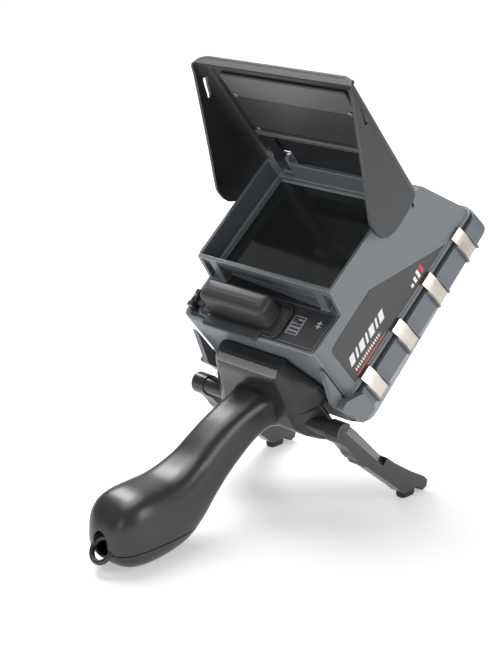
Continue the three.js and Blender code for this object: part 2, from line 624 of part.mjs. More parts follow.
/** The loop's flat ring, leaning back; with a margin it is the solid disc that it needs. */
function lanyardLoop(margin = 0) {
  const ring = new THREE.Shape();
  ring.absarc(0, 0, loop.outer + margin, 0, 2 * Math.PI);
  if (margin === 0) ring.holes.push(new THREE.Path().absarc(0, 0, loop.inner, 0, 2 * Math.PI));
  const depth = loop.thick + 2 * margin;
  const geometry = new THREE.ExtrudeGeometry(ring, { depth, bevelEnabled: false, curveSegments: 12 });
  geometry.translate(0, 0, -depth / 2);
  geometry.rotateX(THREE.MathUtils.degToRad(90 - loop.lean));
  geometry.translate(0, loop.y, loop.z);
  return solid(geometry);
}

/** The recess in the tip of the handle, as wide as the hole of the loop. */
function loopPocket() {
  const [half, low, high] = [loop.inner, loop.z - 16, loop.z + 13];
  return prism('y', [[-half, low], [half, low], [half, high, 6], [-half, high, 6]], -170, loop.y + 8);
}

function dockHood() {
  const body = loft(dockStations.map(dockRing), headMatrix);
  const tube = rod('x', pivot.barrel + GAP, -legOuter, legOuter, [pivot.y, pivot.z], 20);
  const rootSlot = loft(handleStations.slice(0, 3).map((s) => gripRing(s, -0.4)));
  return cut(body, tube, rootSlot);
}

function handleUpper() {
  return cut(gripBody, gripInside, splitBelow(GAP), loopPocket(), lanyardLoop(GAP));
}

function handleLower() {
  return cut(gripBody.intersect(splitBelow(0)), gripInside, loopPocket(), lanyardLoop(GAP));
}

function legBarrel() {
  const tube = rod('x', pivot.barrel, -legInner + GAP, legInner - GAP, [pivot.y, pivot.z], 20);
  return cut(tube, rod('x', pivot.pin + GAP, -legOuter, legOuter, [pivot.y, pivot.z], 12));
}

function foldingLeg(s) {
  const footTop = leg.padHeight + GAP;
  const hub = [[-5, -7, 3], [-8, 0, 4], [-4, 7, 3], [4, 8, 4]]
    .map(([y, z, rounding]) => [pivot.y + y, pivot.z + z, rounding]);
  const upperEdge = [[42, 73.5], [58, 57.5], [70, 45, 5], [81, 36.5, 5], [101, 23.5], [118.5, 13.5, 2]];
  const toe = [[123, 9], [122, 3.5], [117, 1.5], [112, 4]];
  const sole = [[leg.padTo + 0.5, footTop], [leg.padFrom - 2, footTop]];
  const lowerEdge = [[85, 13.5], [63.5, 30.5, 4], [46, 44.5, 2], [40.5, 46.5, 1.5],
    [37.5, 51.5], [35, 52.5], [31, 57, 1.5], [28.5, 61], [22, 68, 3]];
  const side = [...hub, ...upperEdge, ...toe, ...sole, ...lowerEdge];
  const body = prism('x', side, s * legInner, s * legOuter);
  return cut(body, rod('x', pivot.pin + GAP, -legOuter - 1, legOuter + 1, [pivot.y, pivot.z], 12));
}

function footPad(s) {
  return prism('z', rectangle(s * (legInner + 1.5), s * (legOuter - 1.5), leg.padFrom, leg.padTo, 3),
    0, leg.padHeight, { bevel: 1.2 });
}

// ------------------------------------------------------------------- assembly

piece(head, 'front_shell', frontShell(), 'slate');
piece(head, 'back_cover', backCover(), 'slate');
piece(head, 'seam_gasket', seamGasket(), 'rubber');
for (const [side, s] of sides) {
  clipCentres.forEach((y, i) => piece(head, `seam_clip_${side}_${i + 1}`, seamClip(s, y), 'nickel'));
  const film = prism('x', sideLabel, s * (hoodHalf - labelled.thick), s * (hoodHalf + 0.1));
  piece(head, `side_label_${side}`, film, 'grey');
}
piece(head, 'display_bezel', displayBezel(), 'slate');
piece(head, 'display_window', screenSlab(-screen.depth - 0.1, 1.8), 'glass');
piece(head, 'lcd_panel', screenSlab(-screen.depth - 2.3, 5.5), 'black');
piece(head, 'main_board', mainBoard(), 'board');
piece(head, 'control_label', controlLabel(), 'grey');
piece(head, 'speaker_grille', speakerGrille(), 'slate');
piece(head, 'speaker', rod('z', 11, -ledge.drop - WALL - 7, -ledge.drop - WALL - GAP,
  [grille.x + 4, grille.y], 20), 'black');
piece(head, 'usb_socket', usbSocket(), 'steel');
['power_button', 'record_button', 'menu_button'].forEach((name, i) => {
  piece(head, name, pushButton(button.x[i]), 'rubber');
});
piece(head, 'port_cover', portCover(), 'rubber');
piece(head, 'port_cover_anchor', coverAnchor(), 'black');
piece(head, 'port_cover_pin', rod('y', coverPin.radius, ...anchorEnds, lidPin, 10), 'steel');
piece(head, 'sunshade', sunshade(), 'black');
piece(head, 'sunshade_plate', shadePlate(), 'grey');
plateScrews().forEach((at, i) => piece(head, `plate_screw_${i + 1}`, plateScrew(at), 'steel'));
for (const [side, s] of sides) {
  const reach = hinge.arm / 2 + RUN + hinge.ear;
  piece(head, `hinge_arm_${side}`, hingeArm(s), 'black');
  piece(head, `hinge_pin_${side}`, rod('x', hinge.pin, s * (hingeX - reach), s * (hingeX + reach),
    [hingeY, hinge.z], 10), 'steel');
}
piece(head, 'battery_pack', batteryPack(), 'charcoal');
piece(head, 'battery_latch', batteryLatch(), 'black');
piece(head, 'camera_socket', cameraSocket(), 'steel');

piece(base, 'dock_hood', dockHood(), 'charcoal');
piece(base, 'handle_upper_shell', handleUpper(), 'charcoal');
piece(base, 'handle_lower_shell', handleLower(), 'charcoal');
piece(base, 'lanyard_loop', lanyardLoop(), 'charcoal');
piece(base, 'leg_barrel', legBarrel(), 'charcoal');
for (const [side, s] of sides) {
  piece(base, `leg_${side}`, foldingLeg(s), 'charcoal');
  piece(base, `leg_pin_${side}`, rod('x', pivot.pin, s * (legInner - 14), s * legOuter,
    [pivot.y, pivot.z], 12), 'steel');
  piece(base, `foot_pad_${side}`, footPad(s), 'rubber');
}

head.applyMatrix4(headMatrix);
const assembly = new THREE.Group();
assembly.add(head, base);
assembly.updateMatrixWorld(true);
const bounds = new THREE.Box3().setFromObject(assembly, true);
assembly.position.set(0, -(bounds.min.y + bounds.max.y) / 2, -bounds.min.z);

const inspectionCamera = new THREE.Group();
inspectionCamera.add(assembly);
export default inspectionCamera;
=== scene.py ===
# %% [markdown]
# # A hand-held inspection monitor, finished in Blender
#
# The object is a tilted screen housing with a folding sunshade, a dock with a pistol
# handle, and two folding legs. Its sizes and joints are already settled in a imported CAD
# frame. This script gives that frame its fine surfaces and its finishes. The first step
# loads the frame, because everything else takes its place and size from it.

# %% Load the frame
import json
import math

import bmesh
import bpy
import numpy as np
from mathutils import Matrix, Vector


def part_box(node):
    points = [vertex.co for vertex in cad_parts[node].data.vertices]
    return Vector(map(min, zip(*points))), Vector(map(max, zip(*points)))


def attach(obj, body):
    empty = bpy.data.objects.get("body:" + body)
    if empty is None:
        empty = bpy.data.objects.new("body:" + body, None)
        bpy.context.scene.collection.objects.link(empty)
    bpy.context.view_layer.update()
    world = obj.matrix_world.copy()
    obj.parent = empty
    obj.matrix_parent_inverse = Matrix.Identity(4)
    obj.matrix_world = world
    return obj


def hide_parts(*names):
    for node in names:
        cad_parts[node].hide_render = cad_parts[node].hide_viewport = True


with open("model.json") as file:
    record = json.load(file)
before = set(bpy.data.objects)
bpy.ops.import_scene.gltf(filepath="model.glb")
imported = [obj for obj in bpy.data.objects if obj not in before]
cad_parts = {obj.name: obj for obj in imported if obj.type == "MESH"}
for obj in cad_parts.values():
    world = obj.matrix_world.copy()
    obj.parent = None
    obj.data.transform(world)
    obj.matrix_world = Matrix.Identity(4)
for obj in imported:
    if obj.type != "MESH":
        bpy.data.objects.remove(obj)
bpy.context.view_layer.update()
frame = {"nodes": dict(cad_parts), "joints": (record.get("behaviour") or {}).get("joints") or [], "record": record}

print("nodes in the frame:", len(frame["nodes"]))

# %% [markdown]
# The housing is drawn square to its screen and then leans back. Working in that tilted
# frame is far easier than working in the room: x runs across the screen, y up it and z out
# of it. Two joint axes give its directions, since the port cover turns about the y
# direction and the buttons press along z. The sunshade's hinge line gives its place. All
# shapes below are in millimetres, and one function brings them to metres in the room.

# %% The screen frame
MM = 0.001
HINGE_UP, HINGE_OUT = 106, 1

joints = {joint["name"]: joint for joint in frame["joints"]}
across = np.array([1.0, 0, 0])
up_screen = -np.array(joints["port_cover_hinge"]["axis"], float)
out_of_screen = -np.array(joints["power_button_press"]["axis"], float)
screen_axes = np.array([across, up_screen, out_of_screen])
hinge_line = np.array(joints["sunshade_hinge"]["pos_m"]) / MM
screen_origin = hinge_line - HINGE_UP * up_screen - HINGE_OUT * out_of_screen


def from_screen(points):
    """Points (x, y, z) of the screen frame, in mm: each axis times its number, plus the origin, in metres."""
    return (np.asarray(points, float) @ screen_axes + screen_origin) * MM


def screen_box(node):
    """Lowest and highest corner of a CAD node in the screen frame, in mm."""
    mesh = frame["nodes"][node].data
    points = np.empty(len(mesh.vertices) * 3)
    mesh.vertices.foreach_get("co", points)
    local = (points.reshape(-1, 3) / MM - screen_origin) @ screen_axes.T
    return local.min(0), local.max(0)


shell_low, shell_high = screen_box("front_shell")
print("front shell in the screen frame:", shell_low.round(1), shell_high.round(1))

# %% [markdown]
# The handle, the dock's pivot and the legs stand square to the floor, so they use a second
# frame: the room's own axes, with the legs' pivot pin as the known point.

# %% The floor frame
PIVOT_ALONG, PIVOT_UP = 18.2, 80.5

pin_low, pin_high = (np.array(corner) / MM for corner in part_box("leg_pin_right"))
pin_middle = (pin_low + pin_high) / 2
floor_origin = np.array([0, pin_middle[1] - PIVOT_ALONG, pin_middle[2] - PIVOT_UP])


def from_floor(points):
    """Points (x, y, z) of the floor frame, in mm, moved to the room and given in metres."""
    return (np.asarray(points, float) + floor_origin) * MM


print("floor frame starts at", floor_origin.round(2))

# %% [markdown]
# ## The camera
#
# A product camera stands a metre away, a little above the screen, and looks at the middle
# of the housing. A long lens keeps the edges nearly parallel.

# %% Camera
AZIMUTH, ELEVATION = 44.64, 18.83
LENS, SENSOR = 79.0, 36.0
DISTANCE = 1.1084
SHIFT = (-0.0013, -0.004)
LOOK_UP = 0.1469

turn, rise = math.radians(AZIMUTH), math.radians(ELEVATION)
view_from = Vector((math.sin(turn) * math.cos(rise), -math.cos(turn) * math.cos(rise), math.sin(rise)))
target = Vector((0, floor_origin[1] * MM, LOOK_UP))
camera = bpy.data.objects.new("camera", bpy.data.cameras.new("camera"))
bpy.context.scene.collection.objects.link(camera)
camera.data.lens, camera.data.sensor_width = LENS, SENSOR
camera.data.shift_x, camera.data.shift_y = SHIFT
camera.location = target + view_from * DISTANCE
camera.rotation_mode = "QUATERNION"
camera.rotation_quaternion = (-view_from).to_track_quat("-Z", "Y")
bpy.context.scene.camera = camera
print("camera at", tuple(round(value, 3) for value in camera.location))

# %% [markdown]
# ## The studio
#
# A pale floor runs far behind the object, so it is the background too. It glows a little, as
# a lit studio sweep does, which keeps it white where the light thins out. Dark satin plastic
# is drawn by its reflections, so the surround stays dim and the light comes from a few
# shapes: a wide soft sky high on the left, a strip on the right and a low fill in front.

# %% Floor and lights
FLOOR_HALF = 40.0
FLOOR_TONE, FLOOR_GLOW = (0.86, 0.86, 0.855, 1), 0.36

floor_mesh = bpy.data.meshes.new("studio_floor")
corners = [(-FLOOR_HALF, -FLOOR_HALF, 0), (FLOOR_HALF, -FLOOR_HALF, 0),
           (FLOOR_HALF, FLOOR_HALF, 0), (-FLOOR_HALF, FLOOR_HALF, 0)]
floor_mesh.from_pydata(corners, [], [(0, 1, 2, 3)])
floor = bpy.data.objects.new("studio_floor", floor_mesh)
bpy.context.scene.collection.objects.link(floor)
paper = bpy.data.materials.new("studio_paper")
paper.use_nodes = True
sheet = paper.node_tree.nodes["Principled BSDF"].inputs
sheet["Base Color"].default_value, sheet["Roughness"].default_value = FLOOR_TONE, 0.9
sheet["Emission Color"].default_value, sheet["Emission Strength"].default_value = (1, 1, 1, 1), FLOOR_GLOW
floor_mesh.materials.append(paper)


def lamp(name, kind, place, aim, energy, **settings):
    """A light of a kind at a place, turned to face a point."""
    light = bpy.data.lights.new(name, kind)
    light.energy = energy
    for setting, value in settings.items():
        setattr(light, setting, value)
    holder = bpy.data.objects.new(name, light)
    bpy.context.scene.collection.objects.link(holder)
    holder.location = place
    holder.rotation_mode = "QUATERNION"
    holder.rotation_quaternion = (Vector(aim) - Vector(place)).to_track_quat("-Z", "Y")
    return holder


middle = (0, 0, 0.18)
lamp("soft_sky", "SUN", (-0.62, 0.25, 1.9), middle, 1.7, angle=math.radians(42))
lamp("high_strip", "AREA", (-1.1, 0.4, 1.25), middle, 14, shape="RECTANGLE", size=0.45, size_y=0.9)
lamp("right_strip", "AREA", (1.7, 0.5, 0.75), middle, 13, shape="RECTANGLE", size=0.5, size_y=1.3)
lamp("front_fill", "AREA", (0.4, -1.9, 0.7), middle, 5, size=0.9)
surround = bpy.data.worlds.new("dim_surround")
surround.use_nodes = True
surround.node_tree.nodes["Background"].inputs["Color"].default_value = (1, 1, 1, 1)
surround.node_tree.nodes["Background"].inputs["Strength"].default_value = 0.3
bpy.context.scene.world = surround
bpy.context.scene.view_settings.view_transform = "Standard"

# %% [markdown]
# ## Shader sums in plain Python
#
# A procedural finish is mostly arithmetic: a bit of noise times a strength, plus a base
# value. Placing a Math node for every sum is slow to write and slow to read, so a small
# class wraps an output socket, and `+ - *` between wrapped sockets add the Math nodes. Any
# other node comes from its one `node` method: type, settings, then values or links.

# %% The Wire class
class Wire:
    """One output socket in a material. Sums, differences and products of wires add Math nodes."""

    def __init__(self, tree, socket=None):
        self.tree = tree
        self.socket = socket

    def node(self, kind, settings=None, values=None, output=0):
        """Adds a node of a type: its settings are set first, then its sockets' values or links."""
        added = self.tree.nodes.new(kind)
        for name, value in (settings or {}).items():
            if name == "stops":
                for spare in list(added.color_ramp.elements)[len(value):]:
                    added.color_ramp.elements.remove(spare)
                for index, (place, colour) in enumerate(value):
                    stops = added.color_ramp.elements
                    stop = stops[index] if index < len(stops) else stops.new(place)
                    stop.position, stop.color = place, (*colour, 1)
            else:
                setattr(added, name, value)
        for name, value in (values or {}).items():
            if isinstance(value, Wire):
                self.tree.links.new(value.socket, added.inputs[name])
            else:
                added.inputs[name].default_value = value
        return Wire(self.tree, added.outputs[output])

    def maths(self, operation, *values):
        """A Math node with this operation on up to three values."""
        return self.node("ShaderNodeMath", {"operation": operation}, dict(enumerate(values)))

    def __add__(self, other):
        return self.maths("ADD", self, other)

    def __mul__(self, other):
        return self.maths("MULTIPLY", self, other)

    def __sub__(self, other):
        return self.maths("SUBTRACT", self, other)

    def __rsub__(self, other):
        return self.maths("SUBTRACT", other, self)

    __radd__ = __add__
    __rmul__ = __mul__

    def clipped(self, low, high):
        """The value rising from 0 at low to 1 at high, level outside."""
        return self.node("ShaderNodeMapRange", {"clamp": True},
                         {"Value": self, "From Min": low, "From Max": high})

    def mixed(self, first, second):
        """A colour between first, where this value is 0, and second, where it is 1."""
        return self.node("ShaderNodeMix", {"data_type": "RGBA"}, {0: self, 6: first, 7: second}, output=2)


print("shader helper ready")

# %% [markdown]
# Every finish starts the same way: a Principled shader and the object's own coordinates.
# Object coordinates don't slide when the camera moves, and the noise scales below can be
# read as "features per metre". Values that vary feed colour, roughness and bump only.

# %% Start a finish
def finish(name, roughness, **constants):
    """A new material: its Wire for adding nodes, its shader node and its Object coordinates."""
    material = bpy.data.materials.new(name)
    material.use_nodes = True
    tree = material.node_tree
    shader = tree.nodes["Principled BSDF"]
    shader.inputs["Roughness"].default_value = roughness
    for socket, value in constants.items():
        shader.inputs[socket.replace("_", " ")].default_value = value
    start = Wire(tree)
    place = start.node("ShaderNodeTexCoord", output=3)
    return material, start, shader, place


def noise(start, place, scale, detail=2.0, stretch=None):
    """Noise from 0 to 1 with this many features per metre; stretch scales each axis first."""
    if stretch:
        place = start.node("ShaderNodeMapping", None, {"Vector": place, "Scale": stretch})
    return start.node("ShaderNodeTexNoise", None, {"Vector": place, "Scale": scale, "Detail": detail})


def link(start, shader, socket, wire):
    """Joins a wire to one of the shader's sockets."""
    start.tree.links.new(wire.socket, shader.inputs[socket])


def tones(colour, spread):
    """A darker and a lighter version of a colour."""
    return [(*(channel * factor for channel in colour), 1) for factor in (1 - spread, 1 + spread)]


print("finish helpers ready")

# %% [markdown]
# ### Moulded plastic
#
# Nearly all of the object is injection-moulded plastic. The mould is spark-eroded, which
# leaves a fine even grain, and the skin cools unevenly, which leaves broad, faint changes
# of tone and gloss. One recipe makes all the plastics: a colour that drifts slowly, a
# roughness that drifts and is rubbed smoother in patches, and two sizes of grain as bump.

# %% Plastic recipe
def moulded(name, colour, roughness, grain=0.12, spread=0.07, **constants):
    """Plastic: tone = slow noise; roughness = base + slow noise + smudges; bump = fine + coarse grain."""
    material, start, shader, place = finish(name, roughness, **constants)
    drift = noise(start, place, 22)
    mottle = noise(start, place, 340, 3)
    dark, light = tones(colour, spread)
    link(start, shader, "Base Color", (drift * 0.7 + mottle * 0.3).mixed(dark, light))
    smudge = noise(start, place, 55, 4).clipped(0.35, 0.8)
    link(start, shader, "Roughness", drift * 0.1 + mottle * 0.06 - smudge * 0.03 + (roughness - 0.09))
    fine = noise(start, place, 3200, 1)
    coarse = noise(start, place, 1100, 2)
    bump = start.node("ShaderNodeBump", None,
                      {"Strength": grain, "Distance": 0.0002, "Height": fine * 0.6 + coarse * 0.4})
    link(start, shader, "Normal", bump)
    return material


finishes = {
    "slate_plastic": moulded("slate_plastic", (0.135, 0.147, 0.163), 0.4),
    # The slate, black and charcoal edge finishes are paler, smoother copies of their plastics for bevel faces:
    # painted highlights along the edges.
    "slate_painted_highlight": moulded("slate_painted_highlight", (0.23, 0.245, 0.262), 0.32, grain=0.04),
    "black_plastic": moulded("black_plastic", (0.02, 0.022, 0.025), 0.34),
    "black_painted_highlight": moulded("black_painted_highlight", (0.08, 0.084, 0.088), 0.3, grain=0.04),
    "charcoal_plastic": moulded("charcoal_plastic", (0.022, 0.0232, 0.0246), 0.33, grain=0.04),
    "charcoal_painted_highlight": moulded("charcoal_painted_highlight", (0.24, 0.242, 0.246), 0.3, grain=0.03),
    "grille_plastic": moulded("grille_plastic", (0.25, 0.265, 0.285), 0.42),
    "dark_module": moulded("dark_module", (0.01, 0.01, 0.011), 0.5),
    "plate_grey": moulded("plate_grey", (0.045, 0.046, 0.049), 0.4, grain=0.2),
    "plate_face": moulded("plate_face", (0.13, 0.132, 0.136), 0.42, grain=0.04, Metallic=0.3),
    "soft_rubber": moulded("soft_rubber", (0.011, 0.0115, 0.012), 0.62, grain=0.3),
    "cover_rubber": moulded("cover_rubber", (0.028, 0.031, 0.034), 0.5, grain=0.35, Coat_Weight=0.05),
}
print("plastics:", ", ".join(finishes))

# %% [markdown]
# ### Metal, glass and film
#
# The clips are plated spring steel: bright and slightly warm, with rolling lines along the
# strip. The pins and screws are plain steel. The screen is dark glass over a liquid crystal
# panel, with a very faint green cast, so it has a mirror-smooth skin and little colour.

# %% Metals
def plated(name, colour, roughness, lines):
    """Metal: tone and roughness follow noise stretched a hundredfold along x, as rolling lines are."""
    material, start, shader, place = finish(name, roughness, Metallic=1.0)
    rolled = noise(start, place, lines, 3, stretch=(0.02, 1, 1))
    patches = noise(start, place, 130, 3)
    dark, light = tones(colour, 0.09)
    link(start, shader, "Base Color", (rolled * 0.5 + patches * 0.5).mixed(dark, light))
    link(start, shader, "Roughness", rolled * 0.14 + patches * 0.1 + (roughness - 0.12))
    bump = start.node("ShaderNodeBump", None, {"Strength": 0.1, "Distance": 0.0001, "Height": rolled})
    link(start, shader, "Normal", bump)
    return material


finishes["clip_nickel"] = plated("clip_nickel", (0.52, 0.47, 0.42), 0.3, 2600)
# A darker copy of the plating: painted shade for the clips' fold.
finishes["clip_painted_shade"] = plated("clip_painted_shade", (0.3, 0.27, 0.24), 0.42, 2600)
finishes["steel"] = plated("steel", (0.6, 0.6, 0.6), 0.32, 3000)
print("metals ready")

# %% Screen glass and circuit board
material, start, shader, place = finish("screen_glass", 0.16, Coat_Weight=0.4, Coat_Roughness=0.08)
haze = noise(start, place, 9, 2)
link(start, shader, "Base Color", haze.mixed((0.012, 0.017, 0.0165, 1), (0.03, 0.034, 0.03, 1)))
link(start, shader, "Roughness", noise(start, place, 40, 3) * 0.08 + 0.07)
finishes["screen_glass"] = material

material, start, shader, place = finish("circuit_board", 0.45, Coat_Weight=0.3)
tracks = start.node("ShaderNodeTexBrick", {"offset": 0.5},
                    {"Vector": place, "Scale": 160.0, "Color1": (0.01, 0.09, 0.035, 1),
                     "Color2": (0.012, 0.11, 0.045, 1), "Mortar": (0.03, 0.2, 0.09, 1)})
link(start, shader, "Base Color", tracks)
link(start, shader, "Roughness", noise(start, place, 300, 2) * 0.2 + 0.35)
finishes["circuit_board"] = material
print("glass and board ready")

# %% [markdown]
# ### Printed films
#
# The side of the housing carries a charcoal film with a printed pattern, and the tray
# under the screen has a darker one. The print here is a generic one: a row of pale blocks,
# a red stripe and rising level bars. Each mark is a product of two bands, one along the
# film and one across it, measured in the screen frame with dot products.

# %% Film prints
def screen_places(start, place):
    """Wires for the screen frame's x, y and z in mm: dot product with each axis, less the origin's."""
    wires = []
    for axis in screen_axes:
        dot = start.node("ShaderNodeVectorMath", {"operation": "DOT_PRODUCT"},
                         {0: place, 1: tuple(axis / MM)}, output=1)
        wires.append(dot - float(axis @ screen_origin))
    return wires


def band(wire, low, high, soft=0.12):
    """1 between low and high, 0 outside, with an edge as wide as a printed one."""
    return wire.clipped(low - soft, low + soft) * (1 - wire.clipped(high - soft, high + soft))


def side_film():
    """Charcoal film. White = leaning blocks in a row + short dashes in a second; red = stripe + last bar."""
    material, start, shader, place = finish("side_label", 0.4, Coat_Weight=0.15, Coat_Roughness=0.3)
    _, along, depth = screen_places(start, place)
    lean = along - depth * 0.35
    blocks = [(2, 8), (10.5, 13), (15.5, 22), (24.5, 27), (29.5, 36), (38.5, 41), (43.5, 49.5)]
    white = sum(band(lean, low, high) for low, high in blocks) * band(depth, -66, -57.5)
    dashes = (along * 0.4 + 0.12).maths("FRACT", along * 0.4)
    second = band(dashes, 0.3, 0.85, 0.04) * band(depth, -73.2, -70.2) * band(along, -20, 16)
    bars = sum(band(along, 62 + 5 * i, 65 + 5 * i) * band(depth, -75, -71.5 + 2.2 * i) for i in range(3))
    red = band(along, -21, 20) * band(depth, -77.2, -75.6) + band(along, 77, 80) * band(depth, -75, -66.5)
    dark, light = tones((0.022, 0.0225, 0.0235), 0.12)
    film = noise(start, place, 60, 3).mixed(dark, light)
    marked = (white + second + bars).mixed(film, (0.72, 0.72, 0.71, 1))
    link(start, shader, "Base Color", red.mixed(marked, (0.55, 0.03, 0.025, 1)))
    link(start, shader, "Roughness", noise(start, place, 90, 3) * 0.12 + 0.33)
    bump = start.node("ShaderNodeBump", None, {"Strength": 0.15, "Distance": 0.0001,
                                               "Height": noise(start, place, 2400, 1)})
    link(start, shader, "Normal", bump)
    return material


def tray_film():
    """Dark film with a pale printed border line just inside its edge and a small mark by the grille."""
    material, start, shader, place = finish("control_label", 0.45)
    wide, along, _ = screen_places(start, place)
    low, high = screen_box("control_label")
    inner = band(wide, low[0] + 1.6, high[0] - 1.6) * band(along, low[1] + 1.6, high[1] - 1.6)
    outer = band(wide, low[0] + 0.8, high[0] - 0.8) * band(along, low[1] + 0.8, high[1] - 0.8)
    dark, light = tones((0.03, 0.031, 0.033), 0.1)
    film = noise(start, place, 80, 3).mixed(dark, light)
    stem = band(wide, 56.6, 57.4) * band(along, -19, -12)
    arms = band(wide, 54.6, 59.4) * (band(along, -14.6, -13.9) + band(along, -17.4, -16.7))
    link(start, shader, "Base Color",
         (stem + arms).mixed((outer - inner).mixed(film, (0.12, 0.125, 0.13, 1)), (0.7, 0.7, 0.7, 1)))
    link(start, shader, "Roughness", noise(start, place, 70, 3) * 0.12 + 0.4)
    bump = start.node("ShaderNodeBump", None, {"Strength": 0.2, "Distance": 0.0001,
                                               "Height": noise(start, place, 2600, 1)})
    link(start, shader, "Normal", bump)
    return material


finishes["side_label"] = side_film()
finishes["control_label"] = tray_film()
print("finishes:", len(finishes))

# %% [markdown]
# ## Rounding the edges of the CAD parts
#
# A CAD solid has razor-sharp edges, and no real moulding does. Light catches a rounded
# edge as a thin bright line, which is most of what makes plastic look real. The frame node
# itself keeps its shape, and its mesh is loose triangles, so the part is copied, its doubles
# are merged, its flat areas become single faces again, and a Bevel modifier rounds what is
# still sharp. The bevel's own faces take a second finish, paler and smoother: a painted
# highlight along each edge.

# %% Refine a CAD part
MERGE = 2e-6
FLAT = math.radians(0.7)
bodies = frame["record"]["behaviour"]["bodies"]
body_of_node = {node: body for body, nodes in bodies.items() for node in nodes}
slot_of_node = {row["node"]: row["material_slot"] for row in frame["record"]["subparts"]}


def show(name, mesh, slot, body, *nodes, edge=None):
    """Puts a finished mesh on its body, in place of its CAD nodes, with its finish."""
    piece = bpy.data.objects.new(name, mesh)
    bpy.context.scene.collection.objects.link(piece)
    mesh.materials.clear()
    mesh.materials.append(finishes[slot])
    if edge:
        mesh.materials.append(finishes[edge])
    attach(piece, body)
    slot if slot in slot_of_node.values() else edge_slot(slot)
    if nodes:
        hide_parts(*nodes)
    return piece


def edge_slot(name):
    """The record's slot that a second finish belongs to."""
    return {"plate_face": "plate_grey", "clip_painted_shade": "clip_nickel", "slate_painted_highlight": "slate_plastic",
            "charcoal_painted_highlight": "charcoal_plastic", "black_painted_highlight": "black_plastic"}[name]


def rounded(piece, width, segments=2, angle=28, edge=False):
    """Adds the Bevel modifier: width in mm, on edges sharper than the angle."""
    bevel = piece.modifiers.new("rounded edges", "BEVEL")
    bevel.width, bevel.segments = width * MM, segments
    bevel.limit_method, bevel.angle_limit = "ANGLE", math.radians(angle)
    bevel.use_clamp_overlap = False
    bevel.harden_normals = True
    bevel.material = 1 if edge else -1
    return piece


def carved(mesh, cutters):
    """The mesh less every cutter mesh: exact Boolean modifiers, whose result is kept as a new mesh."""
    block = bpy.data.objects.new("block", mesh)
    bpy.context.scene.collection.objects.link(block)
    tools = []
    for cutter in cutters:
        tool = bpy.data.objects.new("tool", cutter)
        bpy.context.scene.collection.objects.link(tool)
        cut = block.modifiers.new("cut", "BOOLEAN")
        cut.object, cut.solver = tool, "EXACT"
        tools.append(tool)
    bpy.context.view_layer.update()
    result = bpy.data.meshes.new_from_object(block.evaluated_get(bpy.context.evaluated_depsgraph_get()))
    result.name = mesh.name
    for spent in [block, *tools]:
        bpy.data.objects.remove(spent)
    return result


def refined(node, width, segments=2, edge=None, angle=28, clamp=False, cutters=()):
    """A rounded copy of a CAD node, which it replaces. Cutters carve it before its edges are rounded."""
    mesh = frame["nodes"][node].data.copy()
    mesh.name = node + "_fine"
    if "custom_normal" in mesh.attributes:
        mesh.attributes.remove(mesh.attributes["custom_normal"])
    work = bmesh.new()
    work.from_mesh(mesh)
    bmesh.ops.remove_doubles(work, verts=work.verts, dist=MERGE)
    bmesh.ops.dissolve_limit(work, angle_limit=FLAT, verts=work.verts, edges=work.edges)
    for face in work.faces:
        face.smooth = True
        face.material_index = 0
    work.to_mesh(mesh)
    work.free()
    if cutters:
        mesh = carved(mesh, cutters)
    piece = show(node + "_fine", mesh, slot_of_node[node], body_of_node[node], node, edge=edge)
    rounded(piece, width, segments, angle, bool(edge)).modifiers[0].use_clamp_overlap = clamp
    return piece


# The bevel faces of the shell and the cover take the paler slate finish: a painted highlight along each edge.
refined("front_shell", 0.55, 2, "slate_painted_highlight")
refined("back_cover", 0.7, 2, "slate_painted_highlight", clamp=True)
for node in ("display_bezel", "hinge_arm_right", "hinge_arm_left", "port_cover_anchor"):
    refined(node, 0.25, 2)
for node in ("seam_gasket", "battery_pack", "battery_latch", "camera_socket", "speaker_grille", "leg_barrel"):
    refined(node, 0.3, 2)
for side in ("right", "left"):
    for number in range(1, 5):
        refined(f"seam_clip_{side}_{number}", 0.12, 2)

# %% [markdown]
# ## Surfaces from formulas
#
# The rest is drawn from scratch. Two shapes cover most of it. The first is a stack of
# rings: every ring is a rounded rectangle that is drawn in by some amount at some height,
# so a short list of (drawn in, height) pairs gives a pad, a dome, a plate with a groove or
# a button. Rings are worked out as one array, and the faces between them follow from the
# grid, so there is no loop over points.

# %% Grid and ring surfaces
def grid_mesh(name, rings, close_ends=True):
    """A closed skin over rings of points, an array (rings, points, 3) in metres."""
    count, points = rings.shape[:2]
    row, column = np.meshgrid(np.arange(count - 1), np.arange(points), indexing="ij")
    beside = (column + 1) % points
    faces = np.stack([row * points + column, row * points + beside,
                      (row + 1) * points + beside, (row + 1) * points + column], -1).reshape(-1, 4)
    polygons = faces.tolist()
    if close_ends:
        polygons += [list(range(points))[::-1], list(range((count - 1) * points, count * points))]
    mesh = bpy.data.meshes.new(name)
    mesh.from_pydata(rings.reshape(-1, 3).tolist(), [], polygons)
    work = bmesh.new()
    work.from_mesh(mesh)
    bmesh.ops.remove_doubles(work, verts=work.verts, dist=MERGE)
    bmesh.ops.recalc_face_normals(work, faces=work.faces)
    for face in work.faces:
        face.smooth = len(face.verts) < 5
    work.to_mesh(mesh)
    work.free()
    return mesh


def rectangle_ring(half_x, half_y, corner, drawn_in, points=64):
    """Rounded rectangle: corner centres plus a radius times (cos, sin), all drawn in by an amount."""
    angle = (np.arange(points) + 0.5) * 2 * np.pi / points
    inner_x, inner_y = np.maximum(half_x - corner, 0), np.maximum(half_y - corner, 0)
    radius = np.maximum(corner - drawn_in, 0.05)
    shrink = np.maximum(drawn_in - corner, 0)
    x = np.sign(np.cos(angle)) * np.maximum(inner_x - shrink, 0) + radius * np.cos(angle)
    y = np.sign(np.sin(angle)) * np.maximum(inner_y - shrink, 0) + radius * np.sin(angle)
    return np.stack([x, y], -1)


